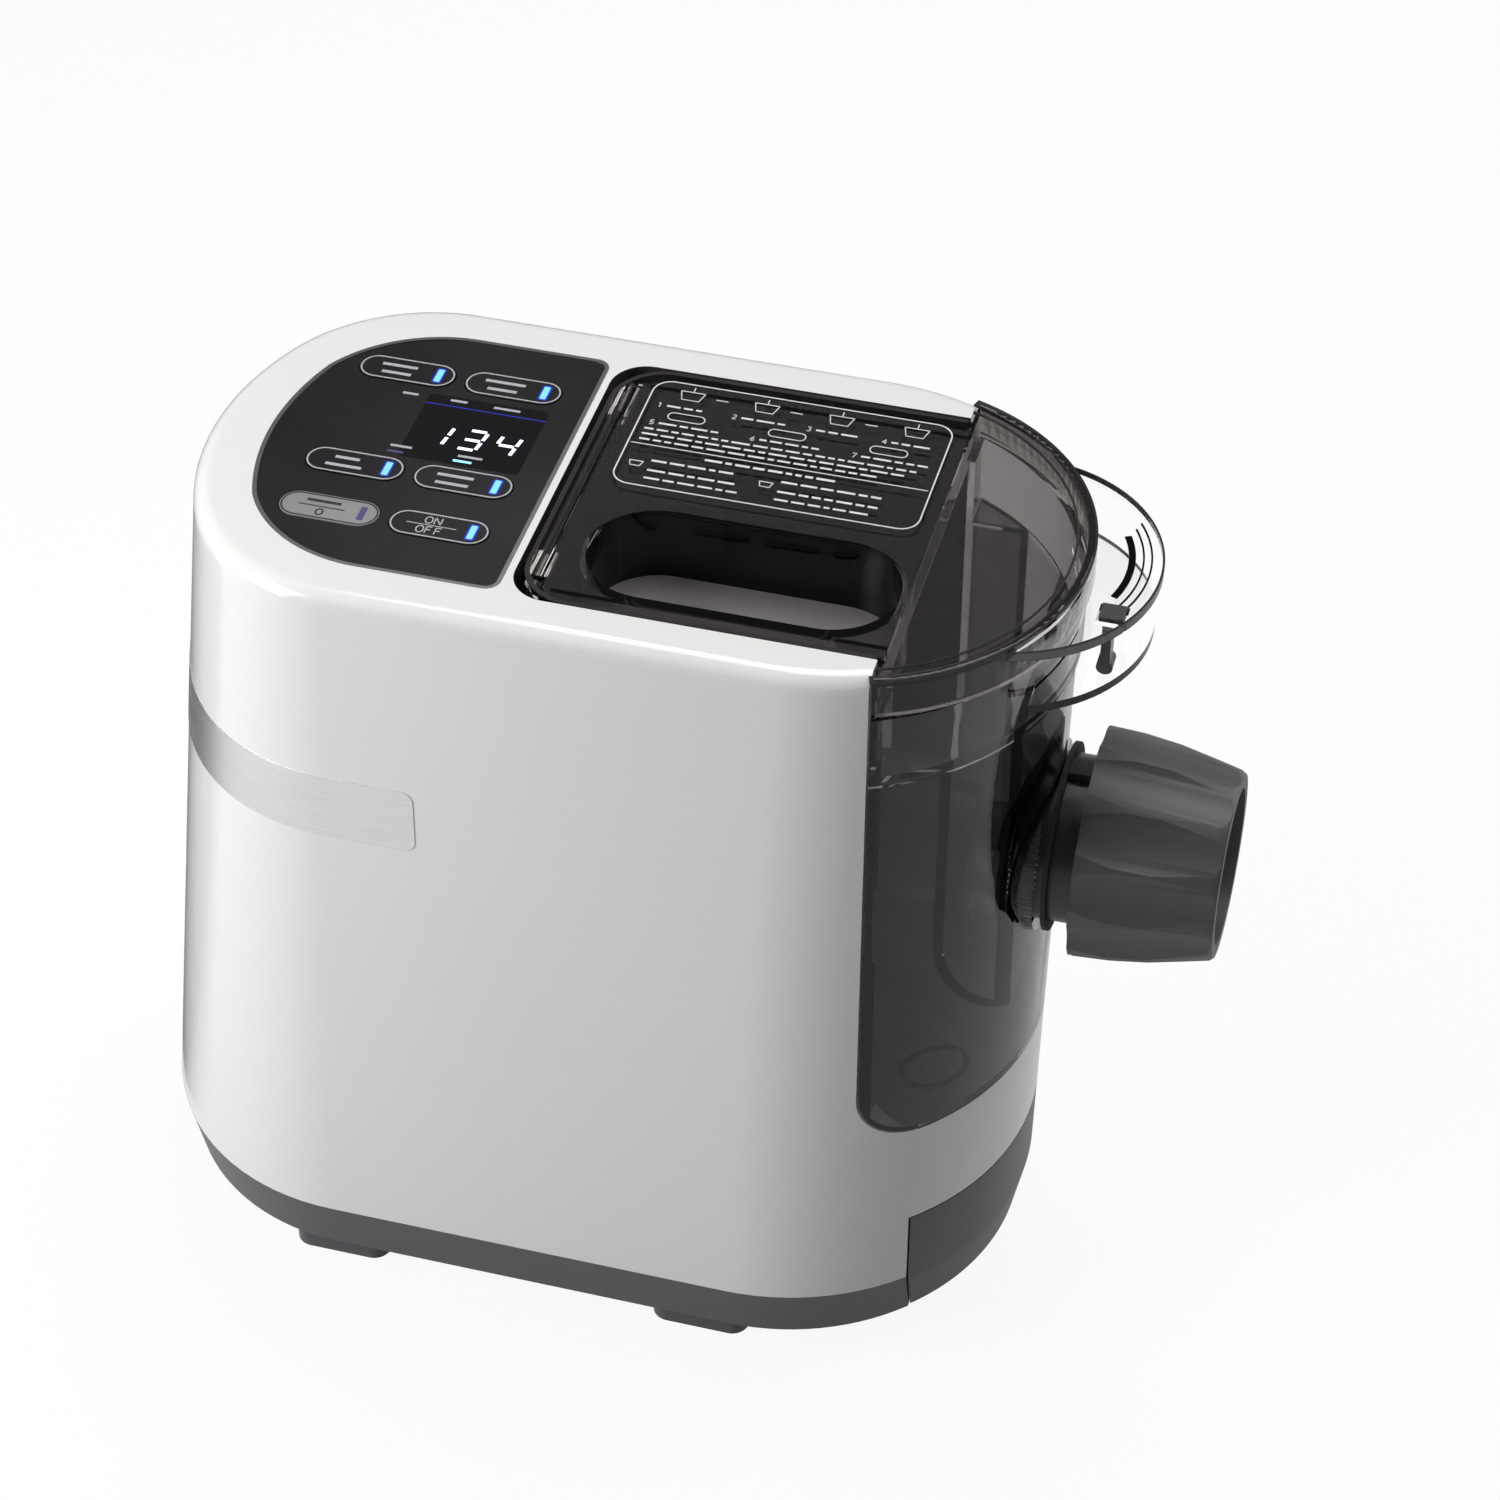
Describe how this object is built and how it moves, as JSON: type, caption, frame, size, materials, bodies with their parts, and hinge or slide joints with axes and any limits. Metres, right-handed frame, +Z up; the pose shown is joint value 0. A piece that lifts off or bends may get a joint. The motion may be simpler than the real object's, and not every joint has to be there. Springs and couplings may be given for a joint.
{
  "type": "electric pasta maker",
  "caption": "Countertop electric pasta maker with a clear lidded mixing bowl, a kneading screw that feeds a round shaping disc, a key panel and a front drawer.",
  "frame": {"origin": "centre of the bounding box at the level the feet stand on", "axes": "+X towards the extruder nut, +Z up, the control panel at -X"},
  "size_m": [0.3656, 0.171, 0.3001],
  "materials": {
    "white_gloss": "glossy white moulding",
    "dark_grey": "fine satin grey",
    "bright_trim": "brushed along the band",
    "panel_black": "satin black",
    "key_silver": "silver grey",
    "smoked_clear": "clear smoked, polished",
    "board_green": "circuit board",
    "inner_plastic": "plain moulded",
    "steel": "turned",
    "cell_alloy": "milled",
    "seal_rubber": "soft",
    "die_white": "plain moulded"
  },
  "bodies": {
    "housing": {"housing_shell": "white_gloss", "trim_band": "bright_trim", "base_tray": "dark_grey", "foot_rear_left": "dark_grey", "load_cell_rear_left": "cell_alloy", "foot_rear_right": "dark_grey", "load_cell_rear_right": "cell_alloy", "foot_front_left": "dark_grey", "load_cell_front_left": "cell_alloy", "foot_front_right": "dark_grey", "load_cell_front_right": "cell_alloy", "panel_bezel": "bright_trim", "control_panel": "panel_black", "display_window": "panel_black", "control_board": "board_green", "display_module": "board_green", "key_switches": "board_green", "gearbox_case": "inner_plastic", "gearbox_cover": "inner_plastic", "idler_pin": "steel", "shaft_bearings": "steel", "motor_case": "steel", "motor_stator": "steel", "motor_bearings": "steel", "drive_seal": "seal_rubber", "gearbox_screws": "steel", "drawer_rails": "dark_grey", "power_board": "board_green", "cord_bushing": "dark_grey", "lid_switch": "board_green", "base_screws": "steel"},
    "drive": {"output_gear": "inner_plastic", "drive_shaft": "steel"},
    "idler": {"idler_gear": "inner_plastic"},
    "rotor": {"motor_rotor": "steel", "motor_pinion": "steel", "cooling_fan": "inner_plastic"},
    "bowl": {"mixing_bowl": "smoked_clear", "extruder_barrel": "dark_grey", "barrel_seal": "seal_rubber", "shaping_disc": "die_white", "bowl_bush": "seal_rubber", "lid_hinge_pins": "steel"},
    "auger": {"extruder_screw": "inner_plastic", "kneading_paddle": "inner_plastic"},
    "nut": {"extruder_nut": "dark_grey"},
    "lid": {"lid": "smoked_clear"},
    "latch": {"lid_latch": "inner_plastic"},
    "drawer": {"drawer_front": "dark_grey", "drawer_tray": "dark_grey"},
    "key_knead": {"key_knead": "panel_black"},
    "key_extrude": {"key_extrude": "panel_black"},
    "key_fast": {"key_fast": "panel_black"},
    "key_elastic": {"key_elastic": "panel_black"},
    "key_scale": {"key_scale": "key_silver"},
    "key_power": {"key_power": "panel_black"}
  },
  "joints": [
    {"name": "drive_spin", "type": "hinge", "parent": "housing", "child": "drive", "pos_m": [-0.05, 0, 0.1869], "axis": [1, 0, 0], "continuous": true},
    {"name": "idler_spin", "type": "hinge", "parent": "housing", "child": "idler", "pos_m": [-0.05, 0, 0.1329], "axis": [1, 0, 0], "continuous": true},
    {"name": "rotor_spin", "type": "hinge", "parent": "housing", "child": "rotor", "pos_m": [-0.05, 0, 0.0789], "axis": [1, 0, 0], "continuous": true},
    {"name": "bowl_slide", "type": "slide", "parent": "housing", "child": "bowl", "axis": [1, 0, 0], "range_m": [0, 0.16]},
    {"name": "auger_spin", "type": "hinge", "parent": "bowl", "child": "auger", "pos_m": [-0.05, 0, 0.1869], "axis": [1, 0, 0], "continuous": true},
    {"name": "nut_turn", "type": "hinge", "parent": "bowl", "child": "nut", "pos_m": [0.16, 0, 0.1869], "axis": [1, 0, 0], "range_deg": [0, 90]},
    {"name": "lid_hinge", "type": "hinge", "parent": "bowl", "child": "lid", "pos_m": [-0.03, 0, 0.296], "axis": [0, -1, 0], "range_deg": [0, 75]},
    {"name": "latch_pivot", "type": "hinge", "parent": "lid", "child": "latch", "pos_m": [0.141, -0.021, 0.2972], "axis": [0, -1, 0], "range_deg": [0, 10], "stiffness_Nm_per_rad": 0.05},
    {"name": "drawer_slide", "type": "slide", "parent": "housing", "child": "drawer", "axis": [1, 0, 0], "range_m": [0, 0.095]},
    {"name": "key_knead_press", "type": "slide", "parent": "housing", "child": "key_knead", "axis": [0, 0, -1], "range_m": [0, 0.0008], "stiffness_N_per_m": 500},
    {"name": "key_extrude_press", "type": "slide", "parent": "housing", "child": "key_extrude", "axis": [0, 0, -1], "range_m": [0, 0.0008], "stiffness_N_per_m": 500},
    {"name": "key_fast_press", "type": "slide", "parent": "housing", "child": "key_fast", "axis": [0, 0, -1], "range_m": [0, 0.0008], "stiffness_N_per_m": 500},
    {"name": "key_elastic_press", "type": "slide", "parent": "housing", "child": "key_elastic", "axis": [0, 0, -1], "range_m": [0, 0.0008], "stiffness_N_per_m": 500},
    {"name": "key_scale_press", "type": "slide", "parent": "housing", "child": "key_scale", "axis": [0, 0, -1], "range_m": [0, 0.0008], "stiffness_N_per_m": 500},
    {"name": "key_power_press", "type": "slide", "parent": "housing", "child": "key_power", "axis": [0, 0, -1], "range_m": [0, 0.0008], "stiffness_N_per_m": 500}
  ],
  "couplings": [
    {"joint": "idler_spin", "follows": "drive_spin", "ratio": -5},
    {"joint": "rotor_spin", "follows": "drive_spin", "ratio": 25},
    {"joint": "auger_spin", "follows": "drive_spin", "ratio": 1}
  ]
}
